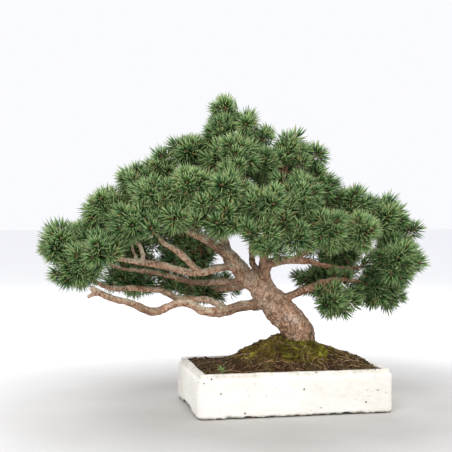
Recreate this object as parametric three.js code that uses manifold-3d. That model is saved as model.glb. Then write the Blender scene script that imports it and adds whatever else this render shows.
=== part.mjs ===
// Mountain pine bonsai in a shallow, thick-walled rectangular tray.
// Millimetres, +Z up. The origin is the middle of the tray's underside, +X runs along the tray's long side
// and -Y is the front. The tree leans and sweeps to the left (-X) and carries its needles in rounded pads.
import * as THREE from "three";
import { mergeVertices } from "three/addons/utils/BufferGeometryUtils.js";
import Module from "manifold-3d";

const wasm = await Module();
wasm.setup();

// ---------------------------------------------------------------- driving dimensions

const GAP = 0.35; // left between any two pieces that touch

const TRAY = {
  length: 360,
  width: 240,
  shoulder: 70, // height of the outer wall
  lip: 8, // height of the inset lip above the shoulder
  ledge: 5, // how far the lip stands in from the outer wall
  wall: 16,
  floor: 12,
  cornerRadius: 15,
  edgeRound: 4,
  tint: 0xf1eee6,
};
TRAY.height = TRAY.shoulder + TRAY.lip;

const DRAIN = { radius: 11, fromMiddle: 90, grooveWidth: 14, grooveDepth: 4 };
const SCREEN = { cells: 4, opening: 6, bar: 3, thickness: 1.5 };
const STAPLE = { radius: 0.8, rise: 1.2, toe: 5 };
const ANCHOR = { radius: 1, holeRadius: 4, spacing: 84, y: 70, grooveWidth: 8, belowLip: 12 };

const SOIL = { belowLip: 6, screenRoom: 0.5 };
const ARCH = { height: 8, length: 118, depth: 20 }; // cut under each short end of the tray
const MOUND = { x: 2, y: 8, height: 56, reachLeft: 128, reachRight: 186, reachDeep: 108, power: 1.35 };
const MOSS = { thickness: 5, edge: 0.82, gridStep: 22 };

const TREE = { footX: 30, footY: 5, growth: 1, girth: 1, puff: 1.06 };
const ROOTS = { count: 6, reach: 118, drop: 34, radius: 13, tip: 3.5, wallRoom: 3 };
const PAD = { detail: 1, lobeDepth: 0.07, lobePitch: 2.7 };

// Each limb lists [x, y, z, radius] along its middle, from its fork to its tip.
// x and y are from the trunk's foot and z is above the tray's lip. sides is how round its tube is.
const LIMBS = {
  trunk: {
    sides: 12,
    steps: 10,
    path: [
      [6, 0, -32, 42], [7, 0, 22, 35], [6, -1, 49, 34], [-7, -3, 72, 31], [-28, -5, 94, 29],
      [-45, -5, 115, 28], [-63, -5, 136, 26], [-82, -5, 151, 21],
    ],
  },
  trunk_swelling: {
    sides: 8,
    steps: 4,
    path: [[12, -5, 2, 22], [16, -6, 28, 20], [16, -7, 50, 18], [10, -6, 71, 14]],
  },
  left_limb: {
    sides: 10,
    steps: 6,
    path: [
      [-55, -5, 126, 19], [-82, -5, 149, 21], [-100, -5, 166, 19], [-115, -7, 184, 17],
      [-131, -9, 201, 15], [-144, -9, 219, 10],
    ],
  },
  leader: {
    sides: 6,
    steps: 9,
    path: [
      [-117, -5, 185, 14], [-135, -1, 213, 11], [-142, 3, 240, 9], [-144, 1, 279, 8.5],
      [-135, -1, 322, 8], [-126, -1, 367, 7], [-123, 1, 410, 6], [-131, 1, 453, 4.5], [-137, -1, 483, 3],
    ],
  },
  leader_left: {
    sides: 5,
    steps: 4,
    path: [[-142, 1, 285, 6], [-166, 15, 315, 5.5], [-195, 25, 337, 5], [-227, 25, 354, 4], [-261, 15, 363, 3]],
  },
  leader_up_left: {
    sides: 5,
    steps: 4,
    path: [[-131, -1, 337, 5.5], [-156, -3, 367, 5], [-181, -5, 383, 4], [-204, -5, 392, 3]],
  },
  leader_right: {
    sides: 5,
    steps: 3,
    path: [[-126, -1, 382, 5], [-107, -5, 410, 4.5], [-98, -5, 442, 3]],
  },
  leader_front: {
    sides: 5,
    steps: 4,
    path: [[-143, -1, 258, 6], [-150, -35, 285, 5.5], [-153, -71, 302, 5], [-153, -105, 313, 4]],
  },
  up_left: {
    sides: 6,
    steps: 7,
    path: [
      [-130, -11, 201, 12], [-149, -23, 214, 10.5], [-173, -39, 230, 9], [-196, -55, 241, 8],
      [-220, -69, 251, 7], [-249, -81, 272, 5.5], [-275, -89, 300, 4], [-296, -89, 319, 3],
    ],
  },
  right_limb: {
    sides: 7,
    steps: 11,
    path: [
      [-43, -5, 119, 18], [-57, -3, 145, 16], [-64, -3, 166, 15], [-61, -5, 183, 13], [-48, -9, 191, 11],
      [-28, -13, 194, 9.5], [-5, -15, 194, 8.5], [21, -13, 192, 7], [48, -13, 184, 5.5],
      [80, -13, 178, 4.5], [115, -15, 178, 4], [153, -17, 183, 3],
    ],
  },
  right_rise: {
    sides: 5,
    steps: 8,
    path: [
      [-66, -1, 162, 9], [-80, 5, 179, 8], [-85, 9, 201, 7], [-80, 11, 232, 6.5], [-62, 13, 268, 6],
      [-39, 13, 309, 5.5], [-20, 11, 353, 5], [-9, 7, 393, 3],
    ],
  },
  right_rise_side: {
    sides: 5,
    steps: 5,
    path: [[-37, 13, 313, 5], [6, 19, 317, 4.5], [55, 21, 314, 4], [104, 17, 296, 3.5], [148, 9, 283, 3]],
  },
  right_front: {
    sides: 5,
    steps: 5,
    path: [[-65, -13, 180, 9], [-74, -41, 202, 7], [-79, -71, 219, 6], [-78, -97, 242, 5], [-75, -115, 277, 3.5]],
  },
  right_front_inner: {
    sides: 5,
    steps: 3,
    path: [[-75, -45, 204, 5], [-105, -79, 238, 4.5], [-127, -101, 260, 3]],
  },
  right_front_outer: {
    sides: 5,
    steps: 4,
    path: [[-12, -17, 194, 7], [4, -43, 208, 6], [23, -69, 226, 5.5], [53, -85, 241, 4.5], [86, -89, 248, 3]],
  },
  low_right: {
    sides: 6,
    steps: 9,
    path: [
      [-40, -5, 118, 13], [-20, -11, 125, 9.5], [-2, -17, 132, 8.5], [18, -23, 140, 8], [36, -29, 147, 7.5],
      [54, -33, 156, 6.5], [78, -31, 158, 5.5], [113, -23, 153, 4.5], [156, -13, 144, 3],
    ],
  },
  low_right_fork: {
    sides: 5,
    steps: 3,
    path: [[34, -29, 146, 6], [51, -35, 138, 5.5], [68, -39, 131, 5], [82, -39, 121, 3.5]],
  },
  low_right_back: {
    sides: 5,
    steps: 4,
    path: [[-10, -13, 130, 6], [22, 25, 138, 5.5], [59, 61, 143, 5], [103, 83, 148, 4], [147, 87, 160, 3]],
  },
  low_left: {
    sides: 6,
    steps: 21,
    path: [
      [-55, -5, 112, 15], [-79, -9, 111, 11.5], [-103, -13, 110, 11], [-125, -17, 105, 11], [-147, -21, 99, 11.5],
      [-168, -25, 100, 11], [-184, -27, 102, 10], [-197, -29, 112, 9.5], [-212, -31, 118, 9],
      [-227, -33, 120, 8.5], [-244, -37, 115, 8.5], [-263, -41, 107, 9], [-284, -45, 105, 9],
      [-302, -47, 114, 8.5], [-321, -47, 123, 7.5], [-343, -47, 128, 7], [-362, -47, 135, 7],
      [-378, -45, 143, 7], [-389, -43, 150, 6],
    ],
  },
  low_left_stub: {
    sides: 5,
    steps: 3,
    path: [[-372, -45, 140, 5.5], [-384, -48, 138, 5], [-396, -50, 134, 4]],
  },
  low_left_loop: {
    sides: 5,
    steps: 17,
    path: [
      [-143, -19, 100, 8], [-150, -11, 112, 8], [-164, -5, 119, 7.5], [-181, -1, 122, 8], [-199, 3, 122, 8],
      [-217, 7, 123, 8], [-233, 11, 125, 7.5], [-244, 15, 134, 7], [-259, 17, 139, 6.5], [-285, 17, 141, 6],
      [-313, 15, 144, 6], [-336, 11, 143, 6], [-355, 5, 146, 5.5], [-373, -1, 155, 5], [-392, -5, 167, 4],
    ],
  },
  mid_left: {
    sides: 5,
    steps: 12,
    path: [
      [-93, -3, 155, 10], [-115, 5, 154, 8], [-138, 13, 153, 7.5], [-163, 21, 151, 7], [-187, 29, 151, 6.5],
      [-209, 35, 155, 6], [-229, 39, 162, 6], [-254, 39, 169, 5.5], [-281, 37, 174, 5], [-308, 33, 176, 5],
      [-332, 27, 181, 4.5], [-362, 21, 194, 4], [-390, 17, 215, 3],
    ],
  },
  cream: {
    sides: 6,
    steps: 14,
    path: [
      [-114, -11, 180, 10], [-135, -19, 183, 9], [-157, -25, 181, 8.5], [-179, -31, 175, 8], [-198, -35, 172, 7.5],
      [-221, -39, 177, 7.5], [-243, -43, 184, 8], [-269, -45, 190, 7.5], [-293, -47, 193, 7], [-316, -49, 197, 6],
      [-338, -49, 201, 5], [-366, -47, 203, 4.5], [-401, -41, 203, 4], [-435, -33, 210, 3],
    ],
  },
  cream_rise: {
    sides: 5,
    steps: 8,
    path: [
      [-189, -35, 174, 6.5], [-209, -47, 190, 7], [-225, -57, 205, 7.5], [-241, -65, 218, 7], [-258, -71, 226, 6],
      [-273, -75, 240, 5], [-284, -77, 263, 4.5], [-294, -75, 291, 4], [-307, -65, 316, 3],
    ],
  },
  twin_front: {
    sides: 5,
    steps: 4,
    path: [[-296, -48, 193, 5], [-297, -51, 209, 5], [-301, -53, 224, 5], [-315, -55, 236, 4.5], [-331, -55, 252, 3]],
  },
  twin_back: {
    sides: 5,
    steps: 4,
    path: [[-305, -48, 195, 4.5], [-312, -43, 211, 4.5], [-317, -39, 229, 4], [-322, -33, 256, 3.5], [-342, -21, 281, 3]],
  },
  back_left: {
    sides: 5,
    steps: 6,
    path: [
      [-108, 1, 174, 10], [-120, 35, 193, 8.5], [-144, 71, 217, 7], [-175, 99, 234, 6], [-212, 115, 253, 5],
      [-260, 111, 277, 3.5],
    ],
  },
  back_low_left: {
    sides: 5,
    steps: 6,
    path: [
      [-88, 3, 151, 9], [-99, 39, 141, 8], [-124, 73, 135, 7], [-159, 99, 135, 6], [-200, 117, 136, 5],
      [-247, 125, 138, 4], [-294, 123, 145, 3],
    ],
  },
  back_right: {
    sides: 5,
    steps: 6,
    path: [
      [-67, 3, 171, 9], [-52, 39, 196, 8], [-23, 75, 222, 7], [17, 101, 245, 6], [64, 107, 261, 5],
      [117, 99, 256, 3.5],
    ],
  },
  back_up: {
    sides: 5,
    steps: 4,
    path: [[-139, 7, 236, 7], [-123, 41, 258, 6], [-95, 77, 281, 5.5], [-72, 107, 301, 4]],
  },
};

// Each pad of needles is [x, y, z] of its middle and its half sizes along x, y and z, placed as the limbs are.
const PADS = {
  apex: [-137, -1, 481, 26, 28, 26],
  crown_mid: [-158, -3, 430, 30, 44, 34],
  crown_right: [-97, -3, 448, 31, 34, 32],
  crown_left: [-203, -1, 396, 35, 48, 33],
  crown_front: [-126, -63, 386, 38, 42, 34],
  crown_left_front: [-219, -97, 330, 40, 42, 35],
  crown_back: [-125, 87, 375, 51, 48, 47],
  upper_left: [-252, 9, 362, 37, 48, 33],
  upper_left_tip: [-312, -1, 345, 32, 42, 34],
  upper_left_front: [-292, -83, 314, 39, 40, 33],
  upper_left_back: [-266, 93, 316, 47, 48, 39],
  left_tip: [-446, -15, 224, 38, 46, 34],
  left_low: [-413, -25, 180, 54, 46, 29],
  left_top: [-397, 29, 240, 41, 50, 31],
  left_shoulder: [-356, 9, 292, 39, 46, 33],
  left_front: [-375, -77, 215, 38, 38, 33],
  left_back: [-340, 87, 235, 50, 42, 36],
  left_mid_front: [-319, -81, 263, 39, 40, 33],
  front_left: [-246, -109, 274, 37, 36, 30],
  front_mid: [-160, -117, 270, 50, 38, 32],
  front_centre: [-156, -121, 323, 37, 40, 33],
  front_low: [-89, -111, 235, 37, 36, 32],
  front_right_centre: [-83, -117, 297, 39, 40, 34],
  front_right_low: [-26, -101, 236, 32, 36, 32],
  saddle: [-66, -15, 372, 34, 56, 32],
  right_knob: [-11, 7, 401, 39, 40, 36],
  right_knob_side: [39, 3, 388, 19, 26, 23],
  right_shoulder: [44, 21, 333, 38, 46, 38],
  right_shoulder_front: [-11, -83, 315, 40, 42, 34],
  right_top: [115, 9, 296, 43, 48, 35],
  right_front: [37, -93, 252, 40, 40, 48],
  right_mid_front: [94, -93, 248, 40, 40, 37],
  right_end_top: [176, 1, 271, 43, 46, 41],
  right_tip: [224, -9, 246, 29, 34, 28],
  right_end: [186, -30, 188, 50, 62, 39],
  right_low: [163, -11, 137, 58, 50, 36],
  right_hanging: [62, -33, 117, 50, 42, 32],
  right_low_back: [72, 55, 152, 70, 46, 28],
  right_back_mid: [105, 63, 200, 72, 42, 30],
  back_centre: [-77, 141, 293, 53, 44, 49],
  back_left: [-179, 143, 297, 52, 44, 44],
  back_left_low: [-186, 113, 206, 66, 42, 40],
  back_left_mid: [-285, 97, 214, 44, 42, 38],
  back_right: [26, 135, 281, 51, 44, 45],
  back_right_up: [-15, 91, 348, 48, 46, 40],
  back_far_right: [124, 107, 256, 51, 46, 41],
  back_low_left: [-152, 113, 135, 72, 40, 28],
  back_low_left_end: [-296, 103, 152, 72, 44, 26],
};

// Cushions of fresh moss on the mound: angle round the trunk in degrees, distance out, half width and height.
const CUSHIONS = {
  front: [246, 64, 19, 8],
  front_right: [300, 62, 16, 8],
};

const COLOURS = {
  bark: 0x8a6a55,
  needles: 0x3f6b38,
  soil: 0x3a291d,
  moss: 0x4c4a22,
  cushion: 0x74852a,
  screen: 0x1c1f1d,
  wire: 0x8c8f92,
};

// ---------------------------------------------------------------- solids

/** Closed three.js geometry to a manifold-3d solid. */
function solid(geometry) {
  const bare = geometry.index ? geometry.toNonIndexed() : geometry.clone();
  bare.deleteAttribute("normal");
  bare.deleteAttribute("uv");
  const merged = mergeVertices(bare, 1e-4);
  const made = new wasm.Manifold(
    new wasm.Mesh({
      numProp: 3,
      vertProperties: new Float32Array(merged.attributes.position.array),
      triVerts: new Uint32Array(merged.index.array),
    }),
  );
  return made;
}

/** A named mesh from a manifold-3d solid. */
function piece(name, shape, colour, roughness, metalness = 0) {
  const { vertProperties, triVerts, numProp } = shape.getMesh();
  const corners = new Float32Array((vertProperties.length / numProp) * 3);
  for (let i = 0; i * numProp < vertProperties.length; i++) {
    corners.set(vertProperties.subarray(i * numProp, i * numProp + 3), i * 3);
  }
  const geometry = new THREE.BufferGeometry();
  geometry.setAttribute("position", new THREE.BufferAttribute(corners, 3));
  geometry.setIndex(new THREE.BufferAttribute(new Uint32Array(triVerts), 1));
  geometry.computeVertexNormals();
  const mesh = new THREE.Mesh(geometry, new THREE.MeshStandardMaterial({ color: colour, roughness, metalness }));
  mesh.name = name;
  return mesh;
}

const joined = (solids) => solids.reduce((whole, one) => whole.add(one));
const boxAt = (x, y, z, w, d, h) => solid(new THREE.BoxGeometry(w, d, h).translate(x, y, z));

/** An upright cylinder from z0 to z1. */
function post(x, y, z0, z1, radius, sides = 16) {
  const round = new THREE.CylinderGeometry(radius, radius, z1 - z0, sides).rotateX(Math.PI / 2);
  return solid(round.translate(x, y, (z0 + z1) / 2));
}

/** The tray's outline, taken in from the outer wall by inset. */
function trayOutline(inset) {
  const halfX = TRAY.length / 2 - inset;
  const halfY = TRAY.width / 2 - inset;
  const r = Math.max(TRAY.cornerRadius - inset, 4);
  const outline = new THREE.Shape();
  outline.moveTo(-halfX + r, -halfY);
  outline.absarc(halfX - r, -halfY + r, r, -Math.PI / 2, 0);
  outline.absarc(halfX - r, halfY - r, r, 0, Math.PI / 2);
  outline.absarc(-halfX + r, halfY - r, r, Math.PI / 2, Math.PI);
  outline.absarc(-halfX + r, -halfY + r, r, Math.PI, Math.PI * 1.5);
  return outline;
}

/** A block with the tray's outline from z0 to z1, its edges rounded by round. */
function trayBlock(inset, z0, z1, round = 0) {
  const geometry = new THREE.ExtrudeGeometry(trayOutline(inset + round), {
    depth: z1 - z0 - 2 * round,
    curveSegments: 3,
    bevelEnabled: round > 0,
    bevelThickness: round,
    bevelSize: round,
    bevelSegments: 2,
  });
  return solid(geometry.translate(0, 0, z0 + round));
}

/** A round tube along points, [x, y, z, radius] each; grow is added to its radius and at its two ends. */
function tube(points, sides, steps, grow = 0) {
  const centres = points.map(([x, y, z]) => new THREE.Vector3(x, y, z));
  if (grow > 0) {
    const first = centres[0].clone().sub(centres[1]).setLength(grow);
    const last = centres.at(-1).clone().sub(centres.at(-2)).setLength(grow);
    centres[0].add(first);
    centres.at(-1).add(last);
  }
  const curve = new THREE.CatmullRomCurve3(centres, false, "centripetal");
  const frames = curve.computeFrenetFrames(steps, false);
  const geometry = new THREE.CylinderGeometry(1, 1, 1, sides, steps);
  const at = geometry.attributes.position;
  const corner = new THREE.Vector3();
  for (let i = 0; i < at.count; i++) {
    corner.fromBufferAttribute(at, i);
    const ring = Math.round((0.5 - corner.y) * steps);
    const along = curve.getUtoTmapping(ring / steps) * (points.length - 1);
    const before = Math.min(Math.floor(along), points.length - 2);
    const radius = THREE.MathUtils.lerp(points[before][3], points[before + 1][3], along - before) + grow;
    const middle = curve.getPointAt(ring / steps);
    middle.addScaledVector(frames.normals[ring], corner.x * radius);
    middle.addScaledVector(frames.binormals[ring], corner.z * radius);
    at.setXYZ(i, middle.x, middle.y, middle.z);
  }
  const made = solid(geometry);
  if (made.volume() < 0) throw new Error("a tube came out inside out");
  return made;
}

/** A bent wire: a straight rod from each point to the next, each a little over long so that the bends are full. */
function wire(points, radius) {
  const rods = [];
  for (let i = 1; i < points.length; i++) {
    const from = new THREE.Vector3(...points[i - 1]);
    const to = new THREE.Vector3(...points[i]);
    const rod = new THREE.CylinderGeometry(radius, radius, from.distanceTo(to) + 1.2 * radius, 6);
    const turn = new THREE.Quaternion().setFromUnitVectors(
      new THREE.Vector3(0, 1, 0),
      to.clone().sub(from).normalize(),
    );
    rods.push(solid(rod.applyQuaternion(turn).translate(...from.lerp(to, 0.5).toArray())));
  }
  return joined(rods);
}

// ---------------------------------------------------------------- tree

/** A point listed from the trunk's foot and the lip, in the tray's frame. */
function planted([x, y, z]) {
  const g = TREE.growth;
  return [TREE.footX + x * g, TREE.footY + y * g, TRAY.height + z * g];
}

function limb({ path, sides, steps }, grow) {
  const placed = path.map((p) => [...planted(p), p[3] * TREE.growth * TREE.girth]);
  return tube(placed, sides, steps, grow);
}

/** Roots run out and down from the trunk's butt and stop short of the tray's walls and floor. */
function roots(grow) {
  const top = TRAY.height - SOIL.belowLip;
  const spread = [];
  for (let i = 0; i < ROOTS.count; i++) {
    const angle = ((i + 0.35) / ROOTS.count) * 2 * Math.PI;
    const reach = ROOTS.reach * (i % 2 ? 0.8 : 1);
    const run = (share, drop, radius) => [
      TREE.footX + Math.cos(angle + 0.25 * share) * reach * share,
      TREE.footY + Math.sin(angle + 0.25 * share) * reach * share,
      top - drop,
      radius,
    ];
    const path = [
      run(0.12, 6, ROOTS.radius),
      run(0.4, ROOTS.drop * 0.4, ROOTS.radius * 0.75),
      run(0.7, ROOTS.drop * 0.8, ROOTS.radius * 0.45),
      run(1, ROOTS.drop, ROOTS.tip),
    ];
    spread.push(tube(path, 5, 3, grow));
  }
  const room = TRAY.wall + ROOTS.wallRoom - grow;
  const inside = trayBlock(room, TRAY.floor + SCREEN.thickness + STAPLE.rise + 4 - grow, TRAY.height + 20);
  return joined(spread).intersect(inside);
}

/** All the wood as one solid, or the space that it needs with grow of clearance all round. */
function wood(grow = 0) {
  const limbs = Object.values(LIMBS).map((one) => limb(one, grow));
  return joined(limbs).add(roots(grow));
}

/** A rounded, lightly lobed pad of needles. */
function padBlob([x, y, z, halfX, halfY, halfZ]) {
  const geometry = new THREE.IcosahedronGeometry(1, PAD.detail);
  const at = geometry.attributes.position;
  const middle = planted([x, y, z]);
  const size = [halfX, halfY, halfZ].map((half) => half * TREE.growth * TREE.puff);
  const corner = new THREE.Vector3();
  for (let i = 0; i < at.count; i++) {
    corner.fromBufferAttribute(at, i);
    const wave = Math.sin(PAD.lobePitch * (corner.x * 1.7 + corner.y) + x) * Math.cos(PAD.lobePitch * corner.z + y);
    const swell = 1 + PAD.lobeDepth * wave;
    at.setXYZ(
      i,
      middle[0] + corner.x * size[0] * swell,
      middle[1] + corner.y * size[1] * swell,
      middle[2] + corner.z * size[2] * swell,
    );
  }
  return { middle: new THREE.Vector3(...middle), size: new THREE.Vector3(...size), shape: solid(geometry) };
}

/** How far a pad reaches from its middle towards direction. */
function reachTowards(pad, direction) {
  return 1 / Math.hypot(direction.x / pad.size.x, direction.y / pad.size.y, direction.z / pad.size.z);
}

/** A block that holds everything past the plane through point, along direction. */
function beyond(point, direction) {
  const side = 4 * TRAY.length;
  const block = new THREE.BoxGeometry(side, side, side).translate(0, 0, side / 2);
  const turn = new THREE.Quaternion().setFromUnitVectors(new THREE.Vector3(0, 0, 1), direction);
  return solid(block.applyQuaternion(turn).translate(point.x, point.y, point.z));
}

/** The pads, each kept to its own side of the planes where it would meet its neighbours. */
function pads(keepClear) {
  const blobs = Object.entries(PADS).map(([name, row]) => ({ name, ...padBlob(row) }));
  for (const one of blobs) {
    one.cut = one.shape;
    for (const other of blobs) {
      const between = other.middle.clone().sub(one.middle);
      const distance = between.length();
      if (other === one || distance > one.size.length() + other.size.length()) continue;
      const direction = between.divideScalar(distance);
      const mine = reachTowards(one, direction);
      const theirs = reachTowards(other, direction);
      const plane = (mine + distance - theirs) / 2 - GAP / 2;
      if (plane > Math.max(...one.size.toArray()) * (1 + PAD.lobeDepth)) continue;
      one.cut = one.cut.subtract(beyond(one.middle.clone().addScaledVector(direction, plane), direction));
    }
  }
  return blobs.map(({ name, cut }) => {
    const trimmed = cut.subtract(keepClear);
    return piece("foliage_" + name, largest(trimmed), COLOURS.needles, 0.85);
  });
}

/** The main body of a solid, without the crumbs that a limb passing near a face shaves off. */
function largest(shape) {
  return shape.decompose().sort((a, b) => b.volume() - a.volume())[0];
}

// ---------------------------------------------------------------- tray and what lies in its floor

/** The shallow arch under one short end, which lets air and water out. */
function endArch(side) {
  const half = ARCH.length / 2;
  const outline = new THREE.Shape([
    new THREE.Vector2(-half, -1),
    new THREE.Vector2(half, -1),
    new THREE.Vector2(half - ARCH.height, ARCH.height * 0.7),
    new THREE.Vector2(half - 3 * ARCH.height, ARCH.height),
    new THREE.Vector2(3 * ARCH.height - half, ARCH.height),
    new THREE.Vector2(ARCH.height - half, ARCH.height * 0.7),
  ]);
  const cut = new THREE.ExtrudeGeometry(outline, { depth: 2 * ARCH.depth, bevelEnabled: false });
  cut.rotateX(Math.PI / 2).rotateZ(Math.PI / 2);
  return solid(cut.translate((side * TRAY.length) / 2 - ARCH.depth, 0, 0));
}

function tray() {
  const under = TRAY.width + 20;
  const body = trayBlock(0, 0, TRAY.shoulder, TRAY.edgeRound);
  const lip = trayBlock(TRAY.ledge, TRAY.shoulder - 2 * TRAY.edgeRound, TRAY.height, 1.5);
  let made = body.add(lip).subtract(trayBlock(TRAY.wall, TRAY.floor, TRAY.height + 10));
  for (const side of [-1, 1]) {
    const x = side * DRAIN.fromMiddle;
    made = made.subtract(post(x, 0, -1, TRAY.floor + 1, DRAIN.radius));
    made = made.subtract(boxAt(x, 0, 0, DRAIN.grooveWidth, under, 2 * DRAIN.grooveDepth));
    made = made.subtract(post((side * ANCHOR.spacing) / 2, ANCHOR.y, -1, TRAY.floor + 1, ANCHOR.holeRadius, 12));
    made = made.subtract(endArch(side));
  }
  return made.subtract(
    boxAt(0, ANCHOR.y, 0, ANCHOR.spacing + ANCHOR.grooveWidth, ANCHOR.grooveWidth, 2 * DRAIN.grooveDepth),
  );
}

const screenSide = SCREEN.cells * (SCREEN.opening + SCREEN.bar) + SCREEN.bar;
const screenFloor = TRAY.floor + GAP;

/** A square of plastic mesh over a drain hole; grow fills its openings and gives it room in the soil. */
function screen(x, grow = 0) {
  const pitch = SCREEN.opening + SCREEN.bar;
  const tall = SCREEN.thickness + grow;
  const plate = boxAt(x, 0, screenFloor + tall / 2, screenSide + 2 * grow, screenSide + 2 * grow, tall);
  if (grow > 0) return plate;
  const first = (-(SCREEN.cells - 1) / 2) * pitch;
  const openings = [];
  for (let i = 0; i < SCREEN.cells; i++) {
    for (let j = 0; j < SCREEN.cells; j++) {
      const [cx, cy] = [x + first + i * pitch, first + j * pitch];
      openings.push(boxAt(cx, cy, screenFloor, SCREEN.opening, SCREEN.opening, 4 * SCREEN.thickness));
    }
  }
  return plate.subtract(joined(openings));
}

/** A wire staple over the screen's middle bar, through two of its openings and out under the tray. */
function staple(x, grow = 0) {
  const leg = (SCREEN.opening + SCREEN.bar) / 2;
  const top = screenFloor + SCREEN.thickness + STAPLE.radius + STAPLE.rise;
  const under = DRAIN.grooveDepth - STAPLE.radius - GAP;
  const path = [
    [x + leg, -leg - STAPLE.toe, under],
    [x + leg, -leg, under],
    [x + leg, -leg, top],
    [x + leg, leg, top],
    [x + leg, leg, under],
    [x + leg, leg + STAPLE.toe, under],
  ];
  return wire(path, STAPLE.radius + grow);
}

/** The wire that ties the root ball down: out under the tray between its two holes, and up over the roots. */
function anchorWire(grow = 0) {
  const x = ANCHOR.spacing / 2;
  const under = DRAIN.grooveDepth - ANCHOR.radius - GAP;
  const over = TRAY.height - ANCHOR.belowLip;
  const path = [
    [-x / 3, ANCHOR.y, over],
    [-x, ANCHOR.y, over - x / 3],
    [-x, ANCHOR.y, under],
    [x, ANCHOR.y, under],
    [x, ANCHOR.y, over - x / 3],
    [x / 3, ANCHOR.y, over],
  ];
  return wire(path, ANCHOR.radius + grow);
}

// ---------------------------------------------------------------- soil and moss

/** How far (x, y) is from the mound's top, where 1 is the mound's edge. */
function moundShare(x, y) {
  const dx = x - MOUND.x;
  const reach = dx < 0 ? MOUND.reachLeft : MOUND.reachRight;
  return Math.hypot(dx / reach, (y - MOUND.y) / MOUND.reachDeep);
}

/** The soil's height at (x, y): level near the walls, mounded over the roots. */
function soilHeight(x, y) {
  const level = TRAY.height - SOIL.belowLip;
  const inward = Math.max(0, 1 - moundShare(x, y) ** MOUND.power);
  const bumps = 1.4 * Math.sin(x / 17 + 0.8) * Math.cos(y / 13) + 0.8 * Math.sin((x + 2 * y) / 9);
  return level + MOUND.height * inward ** 1.15 + bumps * Math.min(1, 2.5 * inward);
}

/** The moss skin's thickness at (x, y), thinning to nothing just inside the mound's edge. */
function mossThickness(x, y) {
  const inward = MOSS.edge - moundShare(x, y);
  return inward <= 0 ? 0 : MOSS.thickness * Math.min(1, 3.5 * inward) * (1 + 0.25 * Math.sin(x / 11 + y / 8));
}

/** A block over the tray's whole area from z0 up to the surface height(x, y). */
function terrain(height, z0) {
  const nx = Math.ceil(TRAY.length / MOSS.gridStep);
  const ny = Math.ceil(TRAY.width / MOSS.gridStep);
  const geometry = new THREE.BoxGeometry(TRAY.length, TRAY.width, 1, nx, ny, 1);
  const at = geometry.attributes.position;
  for (let i = 0; i < at.count; i++) {
    at.setZ(i, at.getZ(i) > 0 ? height(at.getX(i), at.getY(i)) : z0);
  }
  return solid(geometry);
}

function soil(keepClear) {
  const filled = terrain(soilHeight, TRAY.floor - 10).intersect(
    trayBlock(TRAY.wall + GAP, TRAY.floor + GAP, TRAY.height + 3 * MOUND.height),
  );
  return largest(filled.subtract(keepClear));
}

/** The skin of old moss that covers the mound round the trunk. */
function mossSkin(keepClear) {
  const skin = terrain((x, y) => soilHeight(x, y) + GAP + mossThickness(x, y) - (mossThickness(x, y) ? 0 : 2), 0)
    .subtract(terrain((x, y) => soilHeight(x, y) + GAP, -1))
    .intersect(trayBlock(TRAY.wall + 3 * GAP, TRAY.floor, TRAY.height + 3 * MOUND.height));
  return largest(skin.subtract(keepClear));
}

function cushion([degrees, distance, halfWidth, height], keepClear) {
  const angle = (degrees * Math.PI) / 180;
  const x = TREE.footX + Math.cos(angle) * distance;
  const y = TREE.footY + Math.sin(angle) * distance;
  const skinTop = (px, py) => soilHeight(px, py) + GAP + mossThickness(px, py) + GAP;
  const dome = new THREE.SphereGeometry(1, 10, 6).rotateX(Math.PI / 2);
  dome.scale(halfWidth, halfWidth * 0.8, 1.6 * height).translate(x, y, skinTop(x, y) - 0.6 * height);
  const above = solid(dome).subtract(terrain(skinTop, 0));
  const inTray = trayBlock(TRAY.wall + 3 * GAP, TRAY.floor, TRAY.height + 3 * MOUND.height);
  return largest(above.intersect(inTray).subtract(keepClear));
}

// ---------------------------------------------------------------- assembly

const bonsai = new THREE.Group();
const woodSolid = wood();
const woodRoom = wood(GAP);

bonsai.add(piece("tray", tray(), TRAY.tint, 0.7));
bonsai.add(piece("tree_wood", woodSolid, COLOURS.bark, 0.9));

let soilRoom = woodRoom.add(anchorWire(GAP));
for (const [side, x] of [["left", -DRAIN.fromMiddle], ["right", DRAIN.fromMiddle]]) {
  bonsai.add(piece("drain_screen_" + side, screen(x), COLOURS.screen, 0.6));
  bonsai.add(piece("screen_staple_" + side, staple(x), COLOURS.wire, 0.4, 1));
  soilRoom = soilRoom.add(screen(x, SOIL.screenRoom)).add(staple(x, SOIL.screenRoom));
}
bonsai.add(piece("anchor_wire", anchorWire(), COLOURS.wire, 0.4, 1));
bonsai.add(piece("soil", soil(soilRoom), COLOURS.soil, 0.95));

const mossRoom = woodRoom.add(anchorWire(GAP));
bonsai.add(piece("moss_skin", mossSkin(mossRoom), COLOURS.moss, 0.95));
for (const [place, row] of Object.entries(CUSHIONS)) {
  bonsai.add(piece("moss_cushion_" + place, cushion(row, mossRoom), COLOURS.cushion, 0.95));
}
for (const pad of pads(woodRoom)) bonsai.add(pad);

export default bonsai;
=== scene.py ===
"""A mountain pine bonsai in a shallow white tray: bark, needles, moss, soil and clay over the CAD frame."""

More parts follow.
